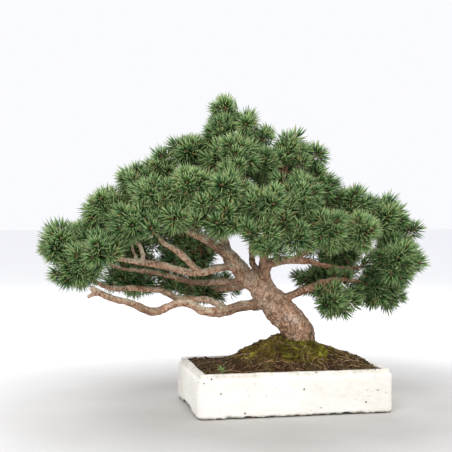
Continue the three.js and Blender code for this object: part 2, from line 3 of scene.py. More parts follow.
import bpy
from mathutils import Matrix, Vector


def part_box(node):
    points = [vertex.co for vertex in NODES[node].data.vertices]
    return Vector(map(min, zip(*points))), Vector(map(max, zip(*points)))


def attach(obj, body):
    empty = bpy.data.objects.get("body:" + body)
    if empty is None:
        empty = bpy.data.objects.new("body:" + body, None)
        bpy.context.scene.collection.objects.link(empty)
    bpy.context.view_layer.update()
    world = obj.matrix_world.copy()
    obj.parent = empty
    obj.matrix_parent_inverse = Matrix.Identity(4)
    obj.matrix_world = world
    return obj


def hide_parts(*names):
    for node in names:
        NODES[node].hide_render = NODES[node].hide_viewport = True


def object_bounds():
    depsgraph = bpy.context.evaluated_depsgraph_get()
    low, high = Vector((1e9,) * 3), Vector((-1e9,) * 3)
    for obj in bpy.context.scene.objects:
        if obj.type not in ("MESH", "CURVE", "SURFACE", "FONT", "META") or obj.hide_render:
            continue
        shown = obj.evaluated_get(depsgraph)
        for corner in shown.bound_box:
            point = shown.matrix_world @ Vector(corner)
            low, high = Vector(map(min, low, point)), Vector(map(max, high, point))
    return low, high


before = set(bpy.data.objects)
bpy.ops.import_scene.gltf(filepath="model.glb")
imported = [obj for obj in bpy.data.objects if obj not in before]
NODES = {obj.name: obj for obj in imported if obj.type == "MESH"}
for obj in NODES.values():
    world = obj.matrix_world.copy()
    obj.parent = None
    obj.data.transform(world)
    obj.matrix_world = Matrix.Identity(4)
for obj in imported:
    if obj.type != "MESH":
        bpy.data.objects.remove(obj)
CAD_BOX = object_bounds()
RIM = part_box("tray")[1].z

import math
from itertools import combinations

import bpy
import numpy as np
from bpy.props import FloatProperty, FloatVectorProperty, IntProperty, PointerProperty
from mathutils import Matrix, Vector
from mathutils.bvhtree import BVHTree
from mathutils.kdtree import KDTree

bl_info = {
    "name": "Potted Pine Bonsai",
    "version": (1, 0, 0),
    "blender": (4, 5, 0),
    "location": "View3D > Sidebar > Bonsai",
    "description": "Builds the bark, needles, moss, soil and tray of a potted pine bonsai",
    "category": "Add Mesh",
}

GOLDEN = math.pi * (3 - math.sqrt(5))  # the angle between one needle or shoot and the next
TURN = 2 * math.pi
UP, DOWN = Vector((0, 0, 1)), Vector((0, 0, -1))
FAR = 0.3  # rays towards a surface start this far away
STRAW = 1.6  # a needle of this tone is dead


# -------- colours and settings


def tint(code):
    """Six hex digits as the linear colour that shaders use; a setting stays as it is."""
    if not isinstance(code, str):
        return code
    parts = [int(code[i : i + 2], 16) / 255 for i in (0, 2, 4)]
    return [p / 12.92 if p <= 0.04045 else ((p + 0.055) / 1.055) ** 2.4 for p in parts]


def length_setting(name, description, default):
    return FloatProperty(
        name=name, description=description, default=default, min=0, subtype="DISTANCE", unit="LENGTH"
    )


def colour_setting(name, description, code):
    return FloatVectorProperty(
        name=name, description=description, default=tint(code), size=3, min=0, max=1, subtype="COLOR"
    )


class TraySettings(bpy.types.PropertyGroup):
    """The clay tray's finish."""

    grain: length_setting("Grain", "Size of the voxels that wear the tray's edges soft", 0.0022)
    wobble: length_setting("Wobble", "How far the hand-pressed walls wander from flat", 0.0024)
    chips: IntProperty(name="Chips", description="Chips along the foot of the walls", default=96, min=0)
    glaze: colour_setting("Glaze", "The white glaze", "F4F1EA")
    stain: colour_setting("Stain", "Dirt in the pits and along the rim", "8C8A72")


class BarkSettings(bpy.types.PropertyGroup):
    """The bark of the trunk and branches."""

    grain: length_setting("Grain", "Size of the voxels that the bark is carved in", 0.0019)
    plate: length_setting("Plate", "Size of the bark's flakes", 0.0092)
    relief: length_setting("Relief", "Depth of the furrows between the flakes", 0.0022)
    flake: colour_setting("Flake", "Dry pinkish faces of the flakes", "E6B594")
    furrow: colour_setting("Furrow", "Dark furrows", "4A3328")
    # This pale is also painted more strongly on upward-facing bark as a painted highlight.
    pale: colour_setting("Pale", "Weathered pale bark on the branches", "E4D6BA")


class NeedleSettings(bpy.types.PropertyGroup):
    """The needles and the shoots that carry them."""

    length: length_setting("Length", "Length of a needle", 0.028)
    width: length_setting("Width", "Width of a needle", 0.0023)
    shoot: length_setting("Shoot", "Length of the needled end of a shoot", 0.013)
    spacing: length_setting("Spacing", "Distance between neighbouring shoots", 0.0138)
    depth: length_setting("Depth", "How far inside a pad's outline its shoots start", 0.0255)
    per_shoot: IntProperty(name="Needles", description="Needles on one shoot", default=54, min=10)
    leaf: colour_setting("Green", "A full-grown needle", "759D54")
    shade: colour_setting("Shade", "The darkest needles", "2B4823")
    # The tip colour is partly a painted highlight on the needles' outer ends.
    tip: colour_setting("Tip", "Needle tips and young needles", "BCCA8E")


class GroundSettings(bpy.types.PropertyGroup):
    """The soil, the moss and what lies on them."""

    grain: length_setting("Grain", "Size of the voxels of soil and moss", 0.0021)
    sprigs: IntProperty(name="Sprigs", description="Moss sprigs on the mound", default=7000, min=0)
    scraps: IntProperty(name="Scraps", description="Bark scraps; crumbs are twice as many", default=520, min=0)
    soil: colour_setting("Soil", "Damp soil", "33220F")
    moss: colour_setting("Moss", "Old brown moss", "6B5A2B")
    fresh: colour_setting("Fresh moss", "Living moss", "92912C")


class StudioSettings(bpy.types.PropertyGroup):
    """The floor, the lights and the camera."""

    floor: colour_setting("Floor", "The plain floor", "ACA9A4")
    key: FloatProperty(name="Key", description="Power of the main light", default=46, min=0, unit="POWER")
    fill: FloatProperty(name="Fill", description="Power of the fill light", default=16, min=0, unit="POWER")
    lens: FloatProperty(name="Lens", description="Focal length", default=77.2, min=1, unit="CAMERA")


# -------- modelling helpers


def only(*objects):
    """Selects just these objects; the first one is active."""
    bpy.ops.object.select_all(action="DESELECT")
    for one in objects:
        one.select_set(True)
    bpy.context.view_layer.objects.active = objects[0]


def editing(obj, mode="VERT"):
    """Opens obj in edit mode with all of it selected."""
    only(obj)
    bpy.ops.object.mode_set(mode="EDIT")
    bpy.ops.mesh.select_mode(type=mode)
    bpy.ops.mesh.select_all(action="SELECT")


def done_editing():
    bpy.ops.object.mode_set(mode="OBJECT")


def choose(obj, wanted):
    """Selects the vertices of obj, open in edit mode, whose place passes wanted."""
    done_editing()
    for part in (*obj.data.polygons, *obj.data.edges):
        part.select = False
    for vertex in obj.data.vertices:
        vertex.select = wanted(vertex.co)
    bpy.ops.object.mode_set(mode="EDIT")


def applied(obj):
    """Puts obj's place, turn and scale into its mesh."""
    only(obj)
    bpy.ops.object.transform_apply(location=True, rotation=True, scale=True)


def placed(name, data):
    """A new object in the scene."""
    made = bpy.data.objects.new(name, data)
    bpy.context.scene.collection.objects.link(made)
    return made


def modified(obj, kind, **settings):
    """Adds a modifier to obj and applies it."""
    only(obj)
    modifier = obj.modifiers.new(kind.title(), kind)
    for key, value in settings.items():
        setattr(modifier, key, value)
    bpy.ops.object.modifier_apply(modifier=modifier.name)


def displaced(obj, kind, size, depth, group="", middle=0.5, axis="NORMAL", **settings):
    """Pushes obj's surface in and out by a procedural texture."""
    texture = bpy.data.textures.new(obj.name + kind.lower(), kind)
    texture.noise_scale = size
    for key, value in settings.items():
        setattr(texture, key, value)
    modified(
        obj, "DISPLACE", texture=texture, strength=depth, mid_level=middle, vertex_group=group, direction=axis
    )
    bpy.data.textures.remove(texture)


def copied_node(node, name):
    """A CAD node's solid as a new object, its loose triangles merged."""
    mesh = NODES[node].data.copy()
    mesh.materials.clear()
    made = placed(name, mesh)
    editing(made)
    bpy.ops.mesh.remove_doubles(threshold=1e-5)
    done_editing()
    return made


def carved(obj, grain, smoothing):
    """Turns obj's solid into an even skin with softened edges."""
    modified(obj, "REMESH", mode="VOXEL", voxel_size=grain)
    modified(obj, "SMOOTH", factor=0.5, iterations=smoothing)


def weighted(obj, name, weights):
    """A vertex group from one weight for each vertex, rounded to twentieths."""
    group = obj.vertex_groups.new(name=name)
    steps = np.clip(np.round(np.asarray(weights) * 20), 0, 20).astype(int)
    for step in range(21):
        group.add(np.flatnonzero(steps == step).tolist(), step / 20, "REPLACE")
    return name


def read_out(items, key):
    """One vector of each item, as rows of numbers."""
    found = np.empty(len(items) * 3, np.float32)
    items.foreach_get(key, found)
    return found.reshape(-1, 3).astype(float)


def points_of(obj):
    return read_out(obj.data.vertices, "co")


def normals_of(obj):
    return read_out(obj.data.vertex_normals, "vector")


def reading(obj, name, values):
    """Stores one number for each vertex, for a material to read."""
    layer = obj.data.attributes.new(name, "FLOAT", "POINT")
    layer.data.foreach_set("value", np.asarray(values, np.float32))


def surface_of(*objects):
    """A search tree over the surfaces of these objects."""
    corners, faces = [], []
    for one in objects:
        start = len(corners)
        corners += [v.co.copy() for v in one.data.vertices]
        faces += [[i + start for i in f.vertices] for f in one.data.polygons]
    return BVHTree.FromPolygons(corners, faces)


def finished(obj, material, nodes, smooth=True):
    """Hands a piece over: shaded, with its material, on the tree's one body and in its CAD nodes' place."""
    applied(obj)
    if smooth:
        bpy.ops.object.shade_smooth()
    obj.vertex_groups.clear()
    obj.data.materials.clear()
    obj.data.materials.append(material)
    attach(obj, "root")
    if nodes:
        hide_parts(*nodes)
    if not obj.data.polygons:
        raise RuntimeError(obj.name + " has no faces")


def splayed(angle, turn):
    """A direction that leans from +Z by angle, towards turn."""
    return Vector((math.sin(angle) * math.cos(turn), math.sin(angle) * math.sin(turn), math.cos(angle)))


def under(tree, x, y):
    """The first point of a surface straight below (x, y), and its normal."""
    return tree.ray_cast(Vector((x, y, FAR)), DOWN)[:2]


def standing(at, direction, roll, size):
    """The matrix that stands something modelled along +Z at a place, along direction."""
    turn = Vector(direction).to_track_quat("Z", "Y").to_matrix() @ Matrix.Rotation(roll, 3, "Z")
    return Matrix.Translation(at) @ (turn * size).to_4x4()


# A stock is something small, modelled once and copied many times: (corners, triangles, along, tone).


def stock_of(obj, length):
    """Takes obj off the scene as a stock, its reading "along" running from 0 to 1 over its length."""
    obj.data.calc_loop_triangles()
    corners = points_of(obj)
    faces = np.array([t.vertices[:] for t in obj.data.loop_triangles])
    bpy.data.objects.remove(obj)
    return corners, faces, np.clip(corners[:, 2] / length, 0, 1), np.zeros(len(corners))


def repeated(stock, places, tones):
    """One stock copied to each place, each copy with its own corners and its own tone."""
    corners, faces, along, tone = stock
    turns = np.array([np.array(p) for p in places])
    moved = np.einsum("nij,vj->nvi", turns[:, :3, :3], corners) + turns[:, None, :3, 3]
    starts = np.arange(len(turns)) * len(corners)
    return (
        moved.reshape(-1, 3),
        (faces[None] + starts[:, None, None]).reshape(-1, 3),
        np.tile(along, len(turns)),
        (tone[None] + np.asarray(tones)[:, None]).ravel(),
    )


def gathered(stocks):
    """Several stocks as one."""
    starts = np.cumsum([0] + [len(s[0]) for s in stocks[:-1]])
    corners, faces, along, tone = zip(*stocks)
    faces = [some + start for some, start in zip(faces, starts)]
    return tuple(np.concatenate(rows) for rows in (corners, faces, along, tone))


def laid_out(stock, name):
    """A new object from a stock."""
    corners, faces, along, tone = stock
    mesh = bpy.data.meshes.new(name)
    mesh.vertices.add(len(corners))
    mesh.vertices.foreach_set("co", corners.astype(np.float32).ravel())
    mesh.loops.add(faces.size)
    mesh.loops.foreach_set("vertex_index", faces.astype(np.int32).ravel())
    mesh.polygons.add(len(faces))
    mesh.polygons.foreach_set("loop_start", np.arange(0, faces.size, 3, dtype=np.int32))
    mesh.update(calc_edges=True)
    made = placed(name, mesh)
    reading(made, "along", along)
    reading(made, "tone", tone)
    return made


# -------- materials


class Finish:
    """A node material while it is put together."""

    def __init__(self, name):
        self.material = bpy.data.materials.new(name)
        self.material.use_nodes = True
        self.tree = self.material.node_tree
        self.surface = self.tree.nodes["Principled BSDF"]
        self.place = self.add("TexCoord").outputs["Object"]

    def add(self, kind, sockets=None, **settings):
        made = self.tree.nodes.new("ShaderNode" + kind)
        for key, value in settings.items():
            setattr(made, key, value)
        for key, value in (sockets or {}).items():
            self.put(made.inputs[key], value)
        return made

    def put(self, socket, value):
        if isinstance(value, bpy.types.NodeSocket):
            self.tree.links.new(value, socket)
        elif socket.type == "RGBA":
            socket.default_value = [*tint(value), 1]
        else:
            socket.default_value = value

    def noise(self, scale, detail=4, rough=0.55, warp=0.0, place=None):
        sockets = {"Vector": place or self.place, "Scale": scale, "Detail": detail}
        return self.add("TexNoise", {**sockets, "Roughness": rough, "Distortion": warp}).outputs["Fac"]

    def cells(self, scale, feature="F1", place=None):
        sockets = {"Vector": place or self.place, "Scale": scale, "Randomness": 1.0}
        return self.add("TexVoronoi", sockets, feature=feature).outputs["Distance"]

    def warped(self, scale, amount):
        """The place, pushed about by noise."""
        cloud = self.add("TexNoise", {"Vector": self.place, "Scale": scale, "Detail": 3}).outputs["Color"]
        shift = self.add("VectorMath", {0: cloud, 1: (0.5, 0.5, 0.5)}, operation="SUBTRACT").outputs[0]
        step = self.add("VectorMath", {0: shift, "Scale": amount}, operation="SCALE").outputs[0]
        return self.add("VectorMath", {0: self.place, 1: step}, operation="ADD").outputs[0]

    def stored(self, name):
        return self.add("Attribute", attribute_name=name).outputs["Fac"]

    def height(self):
        return self.add("SeparateXYZ", {0: self.place}).outputs["Z"]

    def span(self, value, low, high, start=0.0, end=1.0):
        sockets = {"Value": value, "From Min": low, "From Max": high, "To Min": start, "To Max": end}
        return self.add("MapRange", sockets, clamp=True).outputs["Result"]

    def maths(self, operation, a, b):
        return self.add("Math", {0: a, 1: b}, operation=operation).outputs[0]

    def times(self, a, b):
        return self.maths("MULTIPLY", a, b)

    def lit(self, colour, light):
        """The colour, brighter or darker."""
        grey = self.add("CombineColor", {0: light, 1: light, 2: light}).outputs[0]
        return self.blend(colour, grey, 1.0, "MULTIPLY")

    def blend(self, a, b, share, how="MIX"):
        made = self.add("Mix", data_type="RGBA", blend_type=how)
        self.put(made.inputs[0], share)
        self.put(made.inputs[6], a)
        self.put(made.inputs[7], b)
        return made.outputs[2]

    def steps(self, value, stops):
        """A colour ramp; stops is {position: colour}."""
        ramp = self.add("ValToRGB", {"Fac": value})
        elements = ramp.color_ramp.elements
        elements.remove(elements[1])
        for i, (position, colour) in enumerate(stops.items()):
            element = elements.new(position) if i else elements[0]
            element.position = position
            element.color = [*tint(colour), 1]
        return ramp.outputs["Color"]

    def relief(self, height, depth, over=None):
        sockets = {"Height": height, "Distance": depth, "Strength": 1.0}
        if over is not None:
            sockets["Normal"] = over
        return self.add("Bump", sockets).outputs["Normal"]

    def made(self, colour, roughness, normal=None, **constants):
        self.put(self.surface.inputs["Base Color"], colour)
        self.put(self.surface.inputs["Roughness"], roughness)
        if normal is not None:
            self.put(self.surface.inputs["Normal"], normal)
        for key, value in constants.items():
            self.surface.inputs[key.replace("_", " ")].default_value = value
        return self.material


def glaze_finish(s):
    """Matt white glaze: faintly cloudy, pitted, dirty in the pits, greyer towards the foot, and with painted
    shade in a ragged dark band along the foot and underneath.
    """
    f = Finish("white_glaze")
    cloudy = f.blend(s.glaze, "E2DCCF", f.span(f.noise(9, 5), 0.45, 0.8))
    pit_cells = f.cells(64, place=f.warped(30, 0.006))
    rare = f.span(f.noise(24, 2), 0.46, 0.56)
    pits = f.times(f.span(pit_cells, 0.07, 0.15, 1, 0), rare)
    specks = f.times(f.span(f.cells(170), 0.06, 0.18, 1, 0), f.span(f.noise(40, 2), 0.52, 0.62))
    z = f.height()
    lip = f.times(f.span(z, 0.0695, 0.0705), f.span(f.noise(14, 4), 0.3, 0.7, 0.12, 0.5))
    cloudy = f.blend(cloudy, "D3CCBB", lip)
    rim = f.times(f.span(z, 0.067, 0.0745), f.span(f.noise(60, 5, 0.7), 0.46, 0.68))
    foot = f.times(f.span(z, 0.001, 0.006, 1, 0), f.span(f.noise(90, 4, 0.7), 0.4, 0.54))
    dirt = f.maths("MAXIMUM", f.times(rim, 0.5), f.times(foot, 0.9))
    colour = f.blend(cloudy, s.stain, dirt)
    # Painted shade: a ragged dark band along the foot of the walls and over the underside, where the tray
    # stands on the floor.
    ragged = f.maths("ADD", z, f.times(f.noise(75, 5, 0.75), -0.02))
    foot_shade = f.times(f.span(ragged, -0.0094, -0.008, 1, 0), 0.9)
    colour = f.blend(colour, f.blend("4E4436", "8A6444", f.span(f.noise(30, 3), 0.5, 0.6)), foot_shade)
    colour = f.blend(colour, "5A5C44", f.maths("MAXIMUM", pits, specks))
    fine = f.maths("ADD", f.noise(180, 5, 0.6), f.times(pits, -1.5))
    normal = f.relief(fine, 0.0006, f.relief(f.noise(34, 3), 0.0016))
    return f.made(colour, f.span(f.noise(15, 3), 0.3, 0.7, 0.5, 0.72), normal, Specular_IOR_Level=0.35)


def bark_finish(s):
    """Flaking pine bark: mottled pinkish flakes, dark cracks, pale weathered faces on the branches painted
    paler where they face up as a painted highlight, and dark grey on the right-facing foot of the trunk that
    is partly a scar and partly painted shade.
    """
    f = Finish("pine_bark")
    place = f.add("Mapping", {"Vector": f.warped(60, 0.009), "Scale": (1, 1, 0.62)}).outputs[0]
    size = 1 / s.plate
    mottle = f.noise(size * 1.9, 7, 0.75, 0.3, place)
    flakes = f.steps(mottle, {0.33: "5A3D2D", 0.43: "97694D", 0.52: s.flake, 0.62: "F2D2B6", 0.74: "B48A6C"})
    colour = f.blend(flakes, "B08A68", f.span(f.noise(24, 4), 0.48, 0.66, 0, 0.6))
    dusty = f.times(f.span(f.noise(34, 3, 0.5, 0.5, place), 0.5, 0.62), f.stored("girth"))
    colour = f.blend(colour, "F2DCC6", f.times(dusty, 0.55))
    redder = f.times(f.stored("red"), f.span(f.noise(36, 4), 0.35, 0.6))
    colour = f.blend(colour, "A8694A", f.times(redder, 0.6))
    colour = f.blend(colour, "8A6853", f.span(f.stored("girth"), 0.04, 0.16, 0.7, 0))
    # Pale weathered patches, painted stronger where the bark faces up as a painted highlight.
    weathered_and_toplit = f.times(f.stored("pale"), f.span(f.noise(52, 5, 0.6), 0.38, 0.6))
    colour = f.blend(colour, s.pale, weathered_and_toplit)
    worn = f.span(f.noise(17, 4, 0.6, 0.4), 0.5, 0.64)
    colour = f.blend(colour, "75593F", f.times(worn, f.span(f.stored("girth"), 0.25, 0.7, 0.7, 0.25)))
    stout = f.span(f.stored("girth"), 0.1, 0.5, 0.3, 1)
    edges = f.cells(size * 0.75, "DISTANCE_TO_EDGE", place)
    broken = f.span(f.noise(48, 3), 0.42, 0.58)
    cracks = f.times(f.times(f.span(edges, 0.01, 0.075, 1, 0), broken), stout)
    fleck = f.span(f.noise(size * 3.6, 5, 0.65, 0.8), 0.38, 0.47, 0.7, 0)
    colour = f.blend(colour, s.furrow, f.maths("MAXIMUM", f.times(cracks, 0.7), fleck))
    # Dark grey where the trunk's foot faces right: partly a grey scar, partly painted shade.
    scar_and_shade = f.times(f.stored("scar_and_shade"), f.span(f.noise(70, 5, 0.6, 0.6), 0.36, 0.5))
    colour = f.blend(colour, "403B36", scar_and_shade)
    mossy = f.times(f.stored("foot"), f.span(f.noise(60, 5), 0.44, 0.6))
    colour = f.blend(colour, "62602F", mossy)
    deep = f.times(f.span(edges, 0, 0.15), 0.5)
    normal = f.relief(f.maths("ADD", deep, mottle), 0.0042, f.relief(f.noise(480, 5, 0.7), 0.0012))
    return f.made(colour, 0.9, normal, Specular_IOR_Level=0.2)


def needle_finish(s):
    """Needles that run from a straw sheath to a yellowish tip, the tip's lightness partly a painted highlight,
    each with its own green.
    """
    f = Finish("pine_needles")
    along, tone = f.stored("along"), f.stored("tone")
    # Every needle lightens towards its tip: partly real yellowish tips, partly a painted highlight for the
    # pads' outer tips that catch the light.
    young = f.steps(along, {0.0: "A59A5E", 0.1: "7C9A52", 0.5: s.leaf, 0.97: s.tip})
    dark = f.steps(along, {0.0: "6F6B40", 0.12: s.shade, 0.6: "3A6033", 1.0: "6C8D52"})
    colour = f.blend(dark, young, f.span(tone, 0.05, 0.95))
    straw = f.steps(along, {0.0: "77603C", 0.5: "A79A5E", 1.0: "8F8552"})
    colour = f.blend(colour, straw, f.span(tone, STRAW - 0.05, STRAW + 0.15))
    return f.made(colour, 0.42, None, Specular_IOR_Level=0.45)


def twig_finish():
    """Reddish-brown twigs."""
    f = Finish("young_twigs")
    bands = f.steps(f.noise(260, 4), {0.35: "5E4333", 0.5: "826049", 0.68: "A38066"})
    normal = f.relief(f.noise(700, 3), 0.0005)
    return f.made(bands, 0.75, normal, Specular_IOR_Level=0.3)


def bud_finish():
    """Buds with dark-edged scales."""
    f = Finish("buds")
    scales = f.cells(1500)
    colour = f.steps(f.noise(420, 3), {0.35: "9C6A4A", 0.5: "BC8C66", 0.7: "D6B48E"})
    return f.made(f.blend(colour, "7C5238", f.span(scales, 0.5, 0.9)), 0.6, f.relief(scales, 0.0004))


def soil_finish(s):
    """Damp dark soil with paler crumbs."""
    f = Finish("soil")
    crumbs = f.cells(330, place=f.warped(120, 0.004))
    base = f.steps(f.noise(130, 6, 0.7), {0.32: "1C140D", 0.5: s.soil, 0.68: "5C3E1E"})
    colour = f.blend(base, "7A5334", f.times(f.span(f.noise(260, 3), 0.6, 0.72), 0.8))
    green = f.times(f.span(f.noise(28, 4), 0.48, 0.6), 0.5)
    colour = f.blend(colour, "5C5526", green)
    normal = f.relief(crumbs, 0.002, f.relief(f.noise(600, 4), 0.0006))
    return f.made(colour, 0.92, normal, Specular_IOR_Level=0.2)


def moss_finish(s, name, fresh):
    """Moss from brown and olive to living yellow-green; fresh is how much of it lives."""
    f = Finish(name)
    browns = {0.32: "1F160D", 0.43: "4A3520", 0.52: s.moss, 0.6: "80682F", 0.72: "A5855A"}
    old = f.steps(f.noise(150, 6, 0.7), browns)
    live = f.steps(f.noise(190, 5), {0.35: "55541C", 0.52: s.fresh, 0.7: "C0BB50"})
    patch = f.span(f.noise(26, 3, 0.5), 0.62 - fresh, 0.72 - fresh)
    near = f.maths("ADD", patch, f.times(f.stored("tone"), f.span(f.noise(70, 4), 0.4, 0.6, 0.3, 1.1)))
    colour = f.blend(old, live, f.maths("MINIMUM", near, 1.0))
    patchy = f.span(f.noise(24, 4, 0.6), 0.36, 0.64, 0.58, 1.7)
    light = f.times(f.span(f.stored("along"), 0, 1, 0.5, 1.45), patchy)
    normal = f.relief(f.noise(520, 5, 0.7), 0.0012)
    return f.made(f.lit(colour, light), 0.95, normal, Specular_IOR_Level=0.15)


def scrap_finish(name, dark, mid, light):
    """Litter in three shades, each copy as light as its tone."""
    f = Finish(name)
    colour = f.steps(f.noise(240, 5), {0.32: dark, 0.5: mid, 0.7: light})
    tone = f.span(f.stored("tone"), 0, 1, 0.55, 1.25)
    return f.made(f.lit(colour, tone), 0.85, f.relief(f.noise(500, 4), 0.0005), Specular_IOR_Level=0.25)


def plain_finish(name, colour, other, roughness, metallic=0.0):
    """Screens and wire: one colour with wear and a fine surface."""
    f = Finish(name)
    worn = f.blend(colour, other, f.span(f.noise(160, 5), 0.4, 0.7))
    rough = f.span(f.noise(300, 3), 0.3, 0.7, roughness - 0.1, roughness + 0.1)
    return f.made(worn, rough, f.relief(f.noise(900, 3), 0.0002), Metallic=metallic)


# -------- the tray


class BONSAI_OT_tray(bpy.types.Operator):
    """Build the white clay tray, with soft worn edges, chips along its foot and slightly wandering walls"""

    bl_idname = "bonsai.tray"
    bl_label = "Tray"

    def execute(self, context):
        s = context.scene.bonsai_tray
        tray = copied_node("tray", "white_tray")
        low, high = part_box("tray")
        chance = np.random.default_rng(4)
        corner = 0.02
        chips = []
        for _ in range(s.chips):
            side = chance.random()
            x = chance.uniform(low.x + corner, high.x - corner)
            y = chance.uniform(low.y + corner, high.y - corner)
            if side < 0.78:
                y = low.y if side < 0.55 else high.y
            else:
                x = low.x if side < 0.9 else high.x
            size, z = chance.uniform(0.003, 0.0062), chance.uniform(-0.001, 0.001)
            bpy.ops.mesh.primitive_ico_sphere_add(subdivisions=2, radius=size, location=(x, y, z))
            chip = context.object
            chip.scale = (chance.uniform(0.8, 2.0), chance.uniform(0.8, 1.6), chance.uniform(0.5, 0.9))
            displaced(chip, "CLOUDS", 0.003, 0.002)
            chips.append(chip)
        only(*chips)
        bpy.ops.object.join()
        cutter = context.object
        modified(tray, "BOOLEAN", operation="DIFFERENCE", object=cutter, solver="EXACT", use_self=True)
        bpy.data.objects.remove(cutter)
        carved(tray, s.grain, 2)
        group = weighted(tray, "walls", np.abs(points_of(tray)[:, 2]) > 0.0015)
        displaced(tray, "CLOUDS", 0.055, s.wobble, group)
        displaced(tray, "CLOUDS", 0.009, s.wobble * 0.45, group)
        finished(tray, glaze_finish(s), ["tray"])
        return {"FINISHED"}


class BONSAI_OT_drainage(bpy.types.Operator):
    """Finish the drain screens, their staples and the root ball's wire"""

    bl_idname = "bonsai.drainage"
    bl_label = "Drain Screens and Wire"

    def execute(self, context):
        plastic = plain_finish("screen_plastic", "191C1A", "2C302C", 0.55)
        metal = plain_finish("dull_wire", "8E9093", "6C6A66", 0.42, 1.0)
        for name, node in NODES.items():
            if name.startswith(("drain_screen", "screen_staple", "anchor_wire")):
                node.data.materials.clear()
                node.data.materials.append(plastic if name.startswith("drain") else metal)
        return {"FINISHED"}


# -------- trunk and branches


THICKEST = 0.1  # wood thicker than this counts as this thick


def thickness_of(obj):
    """How far each vertex of obj is from the far side of the wood behind it."""
    tree = surface_of(obj)
    found = []
    for at, out in zip(points_of(obj), normals_of(obj)):
        at, out = Vector(at), Vector(out)
        found.append(tree.ray_cast(at - out * 0.0004, -out, THICKEST)[3] or THICKEST)
    return np.array(found)


class BONSAI_OT_bark(bpy.types.Operator):
    """Carve the trunk and branches in flaking bark"""

    bl_idname = "bonsai.bark"
    bl_label = "Bark"

    def execute(self, context):
        s = context.scene.bonsai_bark
        wood = copied_node("tree_wood", "bark")
        editing(wood)
        bpy.ops.mesh.bisect(
            plane_co=(0, 0, RIM), plane_no=UP, use_fill=True, clear_inner=True, threshold=1e-6
        )
        done_editing()
        carved(wood, s.grain, 5)
        thick = thickness_of(wood)
        group = weighted(wood, "stout", np.clip((thick - 0.003) / 0.028, 0.3, 1))
        displaced(wood, "CLOUDS", 0.030, 0.0070, group)
        displaced(wood, "CLOUDS", 0.013, 0.0058, group)
        displaced(
            wood, "VORONOI", s.plate, s.relief, group, 0.6, weight_1=-1.0, weight_2=1.0, noise_intensity=1.3
        )
        displaced(wood, "CLOUDS", 0.0045, 0.0016)
        x, _, z = points_of(wood).T
        facing_right, _, facing_up = normals_of(wood).T
        reading(wood, "girth", np.clip(thick / 0.06, 0, 1))
        left = np.clip((-0.02 - x) / 0.05, 0, 1) * np.clip((0.39 - z) / 0.05, 0, 1)
        # Upward-facing bark is painted paler: real pale weathered patches, made stronger on the tops as a
        # painted highlight.
        top = np.clip(facing_up * 0.8 + 0.45, 0.1, 1)
        dry = 1 + 1.2 * np.clip((z - 0.25) / 0.03, 0, 1)
        reading(wood, "pale", np.clip(left * top * dry + 0.25 * (1 - left) * top, 0, 2))
        reading(wood, "red", np.clip(x / 0.04, 0, 1) * np.clip((z - 0.20) / 0.04, 0, 1))
        # Dark grey on the right-facing side of the trunk's foot: partly the grey cracked bulge, partly painted
        # shade on the side turned from the key light.
        turned = np.clip(facing_right * 2 - 0.6, 0, 1)
        reading(wood, "scar_and_shade", turned * (x > 0.02) * np.clip((RIM + 0.078 - z) / 0.02, 0, 1))
        reading(wood, "foot", np.clip((RIM + 0.062 - z) / 0.03, 0, 1))
        finished(wood, bark_finish(s), ["tree_wood"])
        return {"FINISHED"}


# -------- needles


def cone(radius, length):
    """A three-sided cone that stands on the origin."""
    bpy.ops.mesh.primitive_cone_add(vertices=3, radius1=radius, depth=length, location=(0, 0, length / 2))
    applied(bpy.context.object)
    return bpy.context.object


def needle_stock(length, width):
    """A three-sided needle that stands along +Z and bows a little."""
    needle = cone(width / 2, length)
    editing(needle)
    bpy.ops.mesh.bisect(plane_co=(0, 0, length * 0.5), plane_no=UP)
    choose(needle, lambda co: co.z < length * 0.1)
    bpy.ops.mesh.merge(type="CENTER")
    choose(needle, lambda co: length * 0.4 < co.z < length * 0.6)
    bpy.ops.transform.resize(value=(2.0, 2.0, 1))
    bpy.ops.transform.translate(value=(-length * 0.05, 0, 0))
    done_editing()
    return stock_of(needle, length)


def bud_stock():
    """A pointed bud on a shoot's end."""
    bpy.ops.mesh.primitive_uv_sphere_add(segments=6, ring_count=4, radius=0.0016)
    bud = bpy.context.object
    bud.scale = (1, 1, 2.1)
    applied(bud)
    editing(bud)
    choose(bud, lambda co: co.z > 0.003)
    bpy.ops.transform.translate(value=(0, 0, 0.0014))
    done_editing()
    return stock_of(bud, 0.005)


def shoot_stock(needle, s, chance):
    """A brush of needles round the end of a shoot that points along +Z."""
    places, tones = [], []
    for i in range(s.per_shoot):
        share = (i + 0.5) / s.per_shoot
        turn = i * GOLDEN + chance.normal(0, 0.12)
        splay = math.radians(82 - 62 * share**0.9 + chance.normal(0, 7))
        out = splayed(splay, turn)
        inward = (UP - out * out.z).normalized()
        across = out.cross(inward)
        size = chance.uniform(0.8, 1.06) * (1.0 - 0.1 * share)
        turned = Matrix((inward, across, out * size)).transposed()
        at = Vector((math.cos(turn), math.sin(turn), 0)) * 0.0007
        at.z = s.shoot * (0.1 + 0.9 * share)
        places.append(Matrix.Translation(at) @ turned.to_4x4())
        tones.append(chance.normal(0, 0.5) + (STRAW if chance.random() < 0.09 * (1 - share) ** 2 else 0))
    return repeated(needle, places, tones)


